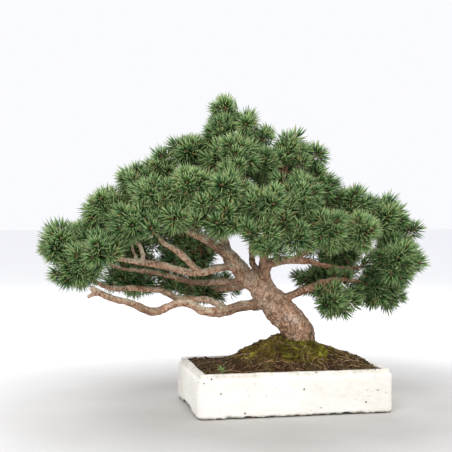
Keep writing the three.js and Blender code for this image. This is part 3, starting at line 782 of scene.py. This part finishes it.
def shoot_places(node, s, chance):
    """Where the shoots of one pad start, which way they point and their size."""
    skin = surface_of(NODES[node])
    low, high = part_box(node)
    middle = (low + high) / 2
    inner = [max(side / 2 - s.depth, 0.006) for side in high - low]
    power = 1.6  # gives an ellipsoid's area to within a per cent or so
    area = 4 * math.pi * (sum((a * b) ** power for a, b in combinations(inner, 2)) / 3) ** (1 / power)
    count = max(4, round(area / s.spacing**2))
    found = []
    spin = chance.random() * TURN
    for i in range(count):
        z = 1 - 2 * (i + 0.5) / count
        ring = math.sqrt(1 - z * z)
        turn = i * GOLDEN + spin
        out = Vector((ring * math.cos(turn), ring * math.sin(turn), z)) + Vector(chance.normal(0, 0.13, 3))
        out.normalize()
        size = chance.uniform(0.78, 1.14)
        beyond = skin.ray_cast(middle + out * FAR, -out)[3]
        far = FAR - beyond if beyond else s.depth
        start = middle + out * max(far - s.depth * chance.uniform(0.6, 1.45), 0)
        lean = (out + outward(start, chance) * min(max(0.75 + out.z, 0.1), 0.7)).normalized()
        found.append((start, lean, size))
    for _ in range(count // 3):
        away = Vector(chance.normal(0, 0.3, 3)) * min(inner)
        found.append((middle + away, Vector(chance.normal(0, 1, 3)).normalized(), chance.uniform(0.9, 1.1)))
    return found


def outward(at, chance):
    """The way a shoot at this place would grow: up, away from the trunk, and not quite straight."""
    away = Vector((at.x * 0.5, at.y, 0)).normalized()
    return (away * 0.7 + UP * 0.65 + Vector(chance.normal(0, 0.35, 3))).normalized()


def bridging(node, middles, s, chance):
    """Shoots that fill the dips between a pad and the pads next to it."""
    found = []
    for other, there in middles.items():
        behind = min(there.y, middles[node].y) > 0.02
        reach, count = (0.15, 3) if behind else (0.107, 2)
        if other == node or (there - middles[node]).length > reach:
            continue
        for _ in range(count):
            lean = outward(middles[node], chance)
            at = middles[node].lerp(there, chance.uniform(0.3, 0.54)) + Vector(chance.normal(0, 0.01, 3))
            found.append((at - lean * s.shoot, lean, chance.uniform(0.8, 1.05)))
    return found


def sprouting(wood, nodes, chance):
    """Shoots that sprout straight from the thinner branches beside the pads, by pad."""
    skins = {n: surface_of(NODES[n]) for n in nodes}
    solid = surface_of(wood)
    apart, lowest, stout = 0.021, 0.24, 0.02
    found, taken = {n: [] for n in nodes}, []
    for i in chance.permutation(len(wood.data.vertices)):
        vertex = wood.data.vertices[int(i)]
        at, out = vertex.co, vertex.normal
        behind = at.y > 0.025
        flattest, furthest = (-0.4, 0.042) if behind else (0.1, 0.02)
        if out.z < flattest or at.z < lowest or any((at - other).length < apart for other in taken):
            continue
        if (solid.ray_cast(at - out * 0.0005, -out, THICKEST)[3] or 1) > stout:
            continue
        node, near = min(((n, skins[n].find_nearest(at)[3]) for n in nodes), key=lambda pair: pair[1])
        if near < furthest:
            taken.append(at)
            lean = (outward(at, chance) + out).normalized()
            found[node].append((at - lean * 0.004, lean, chance.uniform(0.7, 0.95)))
    return found


def held_in(start, lean, size, s):
    """Where a shoot has to start for its needles to end within a few millimetres of the CAD box."""
    short = 0.007  # needles lean and bow, so they reach less far than they are long
    held, reach = start.copy(), s.length * size - short
    for axis in range(3):
        tip = start[axis] + lean[axis] * s.shoot * size
        held[axis] -= max(tip + reach - CAD_BOX[1][axis], 0) + min(tip - reach - CAD_BOX[0][axis], 0)
    return held


def bent(a, b, chance):
    """Points from a to b along an uneven, slightly sagging line."""
    sag, points = 0.1, 6
    span = (b - a).length
    side = Vector(chance.normal(0, 0.09, 3)) * span
    line = []
    for i in range(points):
        t = i / (points - 1)
        line.append(a.lerp(b, t) + (side + DOWN * (sag * span)) * 4 * t * (1 - t) * (1 - 0.4 * t))
    return line


def wired(name, lines):
    """Closed tubes of four sides along lines of (point, radius), as one mesh."""
    curve = bpy.data.curves.new(name, "CURVE")
    curve.dimensions = "3D"
    curve.bevel_depth = unit = 0.001
    curve.bevel_resolution = 0
    curve.use_fill_caps = True
    for line in lines:
        spline = curve.splines.new("POLY")
        spline.points.add(len(line) - 1)
        for point, (at, radius) in zip(spline.points, line):
            point.co = (*at, 1)
            point.radius = radius / unit
    only(placed(name, curve))
    bpy.ops.object.convert(target="MESH")
    made = bpy.context.object
    editing(made)
    bpy.ops.mesh.remove_doubles(threshold=1e-7)
    bpy.ops.mesh.normals_make_consistent(inside=False)
    done_editing()
    return made


class BONSAI_OT_needles(bpy.types.Operator):
    """Grow each pad's shoots of needles, with the twigs and buds that carry them"""

    bl_idname = "bonsai.needles"
    bl_label = "Needles"

    def execute(self, context):
        s = context.scene.bonsai_needles
        chance = np.random.default_rng(11)
        needle = needle_stock(s.length, s.width)
        brushes = [shoot_stock(needle, s, chance) for _ in range(5)]
        bud = bud_stock()
        wood_points = [v.co.copy() for v in NODES["tree_wood"].data.vertices]
        near_wood = KDTree(len(wood_points))
        for i, at in enumerate(wood_points):
            near_wood.insert(at, i)
        near_wood.balance()
        material = needle_finish(s)
        twigs, buds = [], []
        middles = {n: sum(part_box(n), Vector()) / 2 for n in sorted(NODES) if n.startswith("foliage_")}
        sprouts = sprouting(NODES["tree_wood"], list(middles), chance)
        for node, middle in middles.items():
            places = [[] for _ in brushes]
            tones = [[] for _ in brushes]
            pad_tone = 0.5 + chance.normal(0, 0.08)
            grown = shoot_places(node, s, chance) + bridging(node, middles, s, chance) + sprouts[node]
            for start, lean, size in grown:
                start = held_in(start, lean, size, s)
                kind = chance.integers(len(brushes))
                places[kind].append(standing(start, lean, chance.random() * TURN, size))
                tones[kind].append(pad_tone + chance.normal(0, 0.17))
                tip = start + lean * s.shoot * size
                line = bent(near_wood.find(start)[0], start, chance)
                radii = np.linspace(0.0015, 0.0009, len(line))
                twigs.append([*zip(line, radii), (tip, 0.0008)])
                buds.append(standing(tip, lean, 0, chance.uniform(0.8, 1.3) * size))
            stocks = [repeated(b, p, t) for b, p, t in zip(brushes, places, tones) if p]
            pad = laid_out(gathered(stocks), node.replace("foliage", "needles"))
            finished(pad, material, [node])
        finished(wired("twigs", twigs), twig_finish(), [])
        tips = laid_out(repeated(bud, buds, chance.random(len(buds))), "buds")
        finished(tips, bud_finish(), [])
        return {"FINISHED"}


# -------- soil, moss and litter


class BONSAI_OT_soil(bpy.types.Operator):
    """Fill the tray with crumbly soil"""

    bl_idname = "bonsai.soil"
    bl_label = "Soil"

    def execute(self, context):
        s = context.scene.bonsai_ground
        soil = copied_node("soil", "soil_bed")
        carved(soil, s.grain, 2)
        level = np.clip((RIM + 0.006 - points_of(soil)[:, 2]) / 0.006, 0.1, 1)
        group = weighted(soil, "top", np.clip(normals_of(soil)[:, 2] * 2 - 0.6, 0, 1) * level)
        displaced(soil, "CLOUDS", 0.016, 0.0065, group, 0.05, "Z")
        displaced(soil, "VORONOI", 0.0045, 0.0035, group, 0.5, "Z")
        displaced(soil, "CLOUDS", 0.003, 0.0016, group)
        finished(soil, soil_finish(s), ["soil"])
        return {"FINISHED"}


def sprig_stock(chance):
    """A moss sprig: six pointed leaves that stand round one point."""
    leaves, length = 6, 0.0034
    places = []
    for i in range(leaves):
        out = splayed(math.radians(chance.uniform(12, 62)), i * GOLDEN)
        places.append(standing(DOWN * 0.0003, out, 0, chance.uniform(0.7, 1.1)))
    return repeated(stock_of(cone(0.0005, length), length), places, np.zeros(leaves))


def any_tone(chance, at):
    return chance.random()


def scattered(stock, tree, count, area, chance, sizes, tone=any_tone, lean=0.4, lift=0.0):
    """Copies of a stock on an upward-facing surface, inside area (low x, low y, high x, high y)."""
    places, tones = [], []
    for _ in range(count * 4):
        if len(places) == count:
            break
        x, y = chance.uniform(area[0], area[2]), chance.uniform(area[1], area[3])
        at, out = under(tree, x, y)
        if at is None or out.z < 0.2:
            continue
        up = (out + Vector(chance.normal(0, lean, 3))).normalized()
        places.append(standing(at + out * lift, up, chance.random() * TURN, chance.uniform(*sizes)))
        tones.append(tone(chance, at))
    if not places:
        raise RuntimeError("nothing could be scattered")
    return repeated(stock, places, tones)


def area_of(node):
    """The low x, low y, high x and high y of a CAD node."""
    low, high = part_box(node)
    return low.x, low.y, high.x, high.y


class BONSAI_OT_moss(bpy.types.Operator):
    """Cover the root mound with old moss, its sprigs and fresh cushions"""

    bl_idname = "bonsai.moss"
    bl_label = "Moss"

    def execute(self, context):
        s = context.scene.bonsai_ground
        chance = np.random.default_rng(23)
        sprig = sprig_stock(chance)
        foot = [v.co.xy for v in NODES["tree_wood"].data.vertices if 0.02 < v.co.z - RIM < 0.06]
        trunk = sum(foot, Vector((0, 0))) / len(foot)
        living = 0.075  # moss lives this near to the trunk
        old = moss_finish(s, "old_moss", 0.0)
        fresh = moss_finish(s, "fresh_moss", 0.14)
        cushions = sorted(n for n in NODES if n.startswith("moss_cushion"))
        covers = [("moss_skin", old, "old_moss")] + [(n, fresh, "fresh_moss") for n in cushions]

        def liveliness(chance, at):
            near = max(0, 1 - (at.xy - trunk).length / living)
            return chance.normal(0.15, 0.12) + near * (at.y < 0.01)

        for node, material, slot in covers:
            name = node.replace("moss_", "mossy_")
            cover = copied_node(node, name)
            carved(cover, 0.0014 if node == "moss_skin" else 0.001, 2)
            if node == "moss_skin":
                group = weighted(cover, "top", np.clip(normals_of(cover)[:, 2] * 2 - 0.4, 0, 1))
                displaced(cover, "CLOUDS", 0.022, 0.010, group, 0.8)
                displaced(cover, "CLOUDS", 0.007, 0.0055, group, 0.6)
            displaced(cover, "CLOUDS", 0.0025, 0.0014)
            at = points_of(cover)
            from_foot = np.hypot(at[:, 0] - trunk.x - 0.014, at[:, 1] - trunk.y + 0.034)
            collar = weighted(cover, "collar", np.clip(1.2 - from_foot / 0.034, 0, 1))
            modified(cover, "DISPLACE", strength=0.009, mid_level=0.0, direction="Z", vertex_group=collar)
            at = points_of(cover)
            close = 1 - np.hypot(at[:, 0] - trunk.x, at[:, 1] + 0.01 - trunk.y) / living
            lively = np.clip(close, 0, 1) * (at[:, 1] < 0.01) if node == "moss_skin" else np.ones(len(at))
            reading(cover, "tone", lively)
            reading(cover, "along", np.full(len(at), 0.15))
            count = s.sprigs if node == "moss_skin" else s.sprigs // 16
            ground = surface_of(cover)
            sprigs = scattered(sprig, ground, count, area_of(node), chance, (0.6, 1.25), liveliness)
            tufts = laid_out(sprigs, name + "_sprigs")
            finished(cover, material, [node])
            finished(tufts, material, [node])
        return {"FINISHED"}


def flake_stock():
    """A thin curled flake of bark."""
    bpy.ops.mesh.primitive_cube_add(size=1, location=(0, 0, 0))
    flake = bpy.context.object
    flake.scale = (0.0075, 0.0045, 0.0011)
    applied(flake)
    editing(flake, "FACE")
    bpy.ops.mesh.bisect(plane_co=(0.0008, 0, 0), plane_no=(1, 0.3, 0))
    choose(flake, lambda co: 0.0 < co.x < 0.002)
    bpy.ops.transform.translate(value=(0, 0.0008, 0.0012))
    choose(flake, lambda co: co.x > 0.003)
    bpy.ops.transform.resize(value=(1, 0.45, 0.7))
    done_editing()
    return stock_of(flake, 0.002)


def crumb_stock():
    """A lump of soil."""
    bpy.ops.mesh.primitive_ico_sphere_add(subdivisions=1, radius=0.0013)
    crumb = bpy.context.object
    displaced(crumb, "CLOUDS", 0.001, 0.0009)
    return stock_of(crumb, 0.001)


class BONSAI_OT_litter(bpy.types.Operator):
    """Scatter bark scraps, crumbs, dry needles, dead roots and a seedling over the soil and moss"""

    bl_idname = "bonsai.litter"
    bl_label = "Litter"

    def execute(self, context):
        s = context.scene.bonsai_ground
        chance = np.random.default_rng(37)
        ground = surface_of(bpy.data.objects["soil_bed"], bpy.data.objects["mossy_skin"])
        area = area_of("soil")
        flakes = scattered(
            flake_stock(), ground, s.scraps, area, chance, (0.45, 1.2), lean=0.35, lift=0.0005
        )
        scraps = laid_out(flakes, "bark_scraps")
        finished(scraps, scrap_finish("bark_scraps", "2C1D13", "56402A", "86694A"), [], smooth=False)
        lumps = scattered(crumb_stock(), ground, s.scraps * 2, area, chance, (0.5, 1.5))
        crumbs = laid_out(lumps, "soil_crumbs")
        finished(crumbs, scrap_finish("soil_crumbs", "20140D", "46301F", "7A5A3C"), [])
        self.strands(ground, area, chance)
        self.seedling(ground, chance)
        return {"FINISHED"}

    def strands(self, ground, area, chance):
        """Dead roots and dry needles that lie on the ground, following its bumps."""
        lines = []
        for i in range(230):
            x, y = chance.uniform(area[0], area[2]), chance.uniform(area[1], area[3])
            heading = chance.uniform(0, TURN)
            root = i % 3 == 0
            steps, step = (chance.integers(8, 16), 0.0045) if root else (6, 0.0042)
            width = chance.uniform(0.0004, 0.0008) if root else 0.00045
            line = []
            for k in range(steps):
                at, _ = under(ground, x, y)
                if at is None or not (area[0] < x < area[2] and area[1] < y < area[3]):
                    break
                arch = 0.0012 * math.sin(math.pi * k / steps) if root else 0
                line.append((at + UP * (width + arch), width * (1 - 0.5 * k / steps)))
                heading += chance.normal(0, 0.4 if root else 0.06)
                x += math.cos(heading) * step
                y += math.sin(heading) * step
            if len(line) > 3:
                lines.append(line)
        roots = wired("dead_roots", lines)
        reading(roots, "tone", np.full(len(roots.data.vertices), 0.6))
        finished(roots, scrap_finish("dead_roots", "6A4C30", "A98A60", "D8C09A"), [])

    def seedling(self, ground, chance):
        """A small weed seedling by the front left of the mound."""
        low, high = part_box("soil")
        at, _ = under(ground, low.x + 0.1 * (high.x - low.x), low.y + 0.08 * (high.y - low.y))
        leaves = []
        for i in range(7):
            turn = i * GOLDEN
            bpy.ops.mesh.primitive_uv_sphere_add(segments=10, ring_count=6, radius=1)
            leaf = bpy.context.object
            leaf.scale = (0.0040, 0.0022, 0.0004)
            applied(leaf)
            reach = Vector((math.cos(turn), math.sin(turn), chance.uniform(0.3, 1.0))).normalized()
            flat = reach.to_track_quat("X", "Z").to_matrix().to_4x4()
            leaf.matrix_world = Matrix.Translation(at + UP * (0.003 + 0.0008 * i) + reach * 0.006) @ flat
            leaves.append(leaf)
        stems = [[(at, 0.0005), (leaf.matrix_world.translation, 0.0004)] for leaf in leaves]
        stalk = wired("seedling_stalk", stems)
        only(*leaves, stalk)
        bpy.ops.object.join()
        plant = bpy.context.object
        plant.name = "seedling"
        reading(plant, "tone", np.full(len(plant.data.vertices), 0.7))
        finished(plant, scrap_finish("seedling", "55763F", "7C9C5C", "A6BC86"), [])


# -------- studio


class BONSAI_OT_studio(bpy.types.Operator):
    """Set the plain pale floor, the soft lights and the camera"""

    bl_idname = "bonsai.studio"
    bl_label = "Studio"

    def execute(self, context):
        s = context.scene.bonsai_studio
        bpy.ops.mesh.primitive_plane_add(size=40, location=(0, 0, -0.0006))
        floor = context.object
        floor.name = "floor"
        f = Finish("floor")
        away = f.add("VectorMath", {0: f.place}, operation="LENGTH").outputs["Value"]
        colour = f.blend(s.floor, "F6F6F7", f.span(away, 0.3, 0.95))
        colour = f.blend(colour, "F0F0F0", f.span(f.noise(3, 3), 0.3, 0.9, 0, 0.3))
        floor.data.materials.append(f.made(colour, 0.7))
        world = bpy.data.worlds.new("studio")
        world.use_nodes = True
        sky = world.node_tree.nodes["Background"].inputs
        sky["Color"].default_value = (0.96, 0.965, 1.0, 1)
        sky["Strength"].default_value = 1.0
        context.scene.world = world
        context.scene.view_settings.view_transform = "Standard"
        middle = (CAD_BOX[0] + CAD_BOX[1]) / 2
        for name, at, size, power in [
            ("key", (-1.3, -1.7, 2.3), 1.4, s.key),
            ("fill", (1.9, -1.5, 1.2), 1.6, s.fill),
            ("back", (0.3, 1.9, 1.9), 1.6, s.fill),
        ]:
            light = bpy.data.lights.new(name, "AREA")
            light.size = size
            light.energy = power
            lamp = placed(name, light)
            lamp.location = at
            lamp.rotation_euler = (middle - Vector(at)).to_track_quat("-Z", "Y").to_euler()
        camera = bpy.data.cameras.new("camera")
        camera.sensor_width = 36
        camera.lens = s.lens
        camera.clip_end = 50
        eye = placed("camera", camera)
        eye.location = (-0.4675, -1.7725, 0.3594)
        ahead = Vector((0.19990, 0.97974, -0.01271))
        eye.rotation_euler = ahead.to_track_quat("-Z", "Y").to_euler()
        context.scene.camera = eye
        return {"FINISHED"}


# -------- panel and registration


class BONSAI_PT_panel(bpy.types.Panel):
    """Lists the tree's pieces and their settings"""

    bl_label = "Bonsai"
    bl_idname = "BONSAI_PT_panel"
    bl_space_type = "VIEW_3D"
    bl_region_type = "UI"
    bl_category = "Bonsai"

    def draw(self, context):
        for settings, operators in PARTS:
            box = self.layout.box()
            group = getattr(context.scene, settings)
            for key in group.__annotations__:
                box.prop(group, key)
            for operator in operators:
                box.operator(operator.bl_idname)


SETTINGS = {
    "bonsai_studio": StudioSettings,
    "bonsai_tray": TraySettings,
    "bonsai_bark": BarkSettings,
    "bonsai_ground": GroundSettings,
    "bonsai_needles": NeedleSettings,
}
PARTS = [
    ("bonsai_studio", [BONSAI_OT_studio]),
    ("bonsai_tray", [BONSAI_OT_tray, BONSAI_OT_drainage]),
    ("bonsai_bark", [BONSAI_OT_bark]),
    ("bonsai_ground", [BONSAI_OT_soil, BONSAI_OT_moss, BONSAI_OT_litter]),
    ("bonsai_needles", [BONSAI_OT_needles]),
]
CLASSES = [*SETTINGS.values(), *[o for _, some in PARTS for o in some], BONSAI_PT_panel]


def register():
    for one in CLASSES:
        bpy.utils.register_class(one)
    for name, group in SETTINGS.items():
        setattr(bpy.types.Scene, name, PointerProperty(type=group))


def unregister():
    for name in SETTINGS:
        delattr(bpy.types.Scene, name)
    for one in reversed(CLASSES):
        bpy.utils.unregister_class(one)


def main():
    register()
    bpy.ops.bonsai.studio()
    bpy.ops.bonsai.tray()
    bpy.ops.bonsai.drainage()
    bpy.ops.bonsai.bark()
    bpy.ops.bonsai.soil()
    bpy.ops.bonsai.moss()
    bpy.ops.bonsai.litter()
    bpy.ops.bonsai.needles()


if __name__ == "__main__":
    main()
